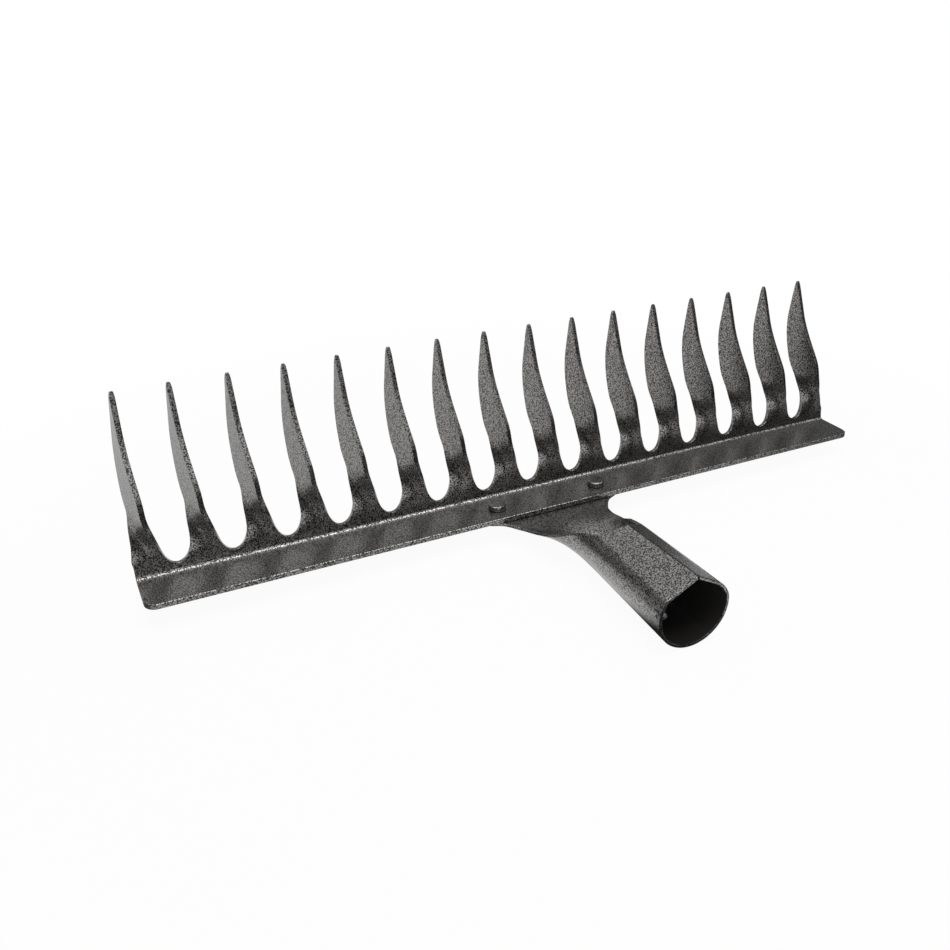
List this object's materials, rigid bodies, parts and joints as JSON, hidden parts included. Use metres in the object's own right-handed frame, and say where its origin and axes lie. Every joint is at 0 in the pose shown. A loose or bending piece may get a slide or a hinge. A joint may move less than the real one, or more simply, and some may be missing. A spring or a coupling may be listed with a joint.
{
  "type": "garden rake",
  "caption": "Garden rake head: a folded steel bar with a row of twisted, leaf-shaped teeth, and a riveted socket rolled to take a round wooden handle.",
  "frame": {"origin": "middle of the part's bounding box in X and Y, at its lowest point in Z, with the bar's shelf level", "axes": "+X along the bar, -Y toward the handle, +Z the way the teeth point"},
  "size_m": [0.4, 0.1628, 0.0922],
  "materials": {
    "comb_hammer_paint": "grey hammer-finish paint, semi-gloss",
    "socket_hammer_paint": "grey hammer-finish paint, semi-gloss",
    "rivet_hammer_paint": "grey hammer-finish paint, semi-gloss"
  },
  "bodies": {
    "root": {"comb": "comb_hammer_paint", "socket": "socket_hammer_paint", "rivet_left": "rivet_hammer_paint", "rivet_right": "rivet_hammer_paint"}
  },
  "joints": []
}
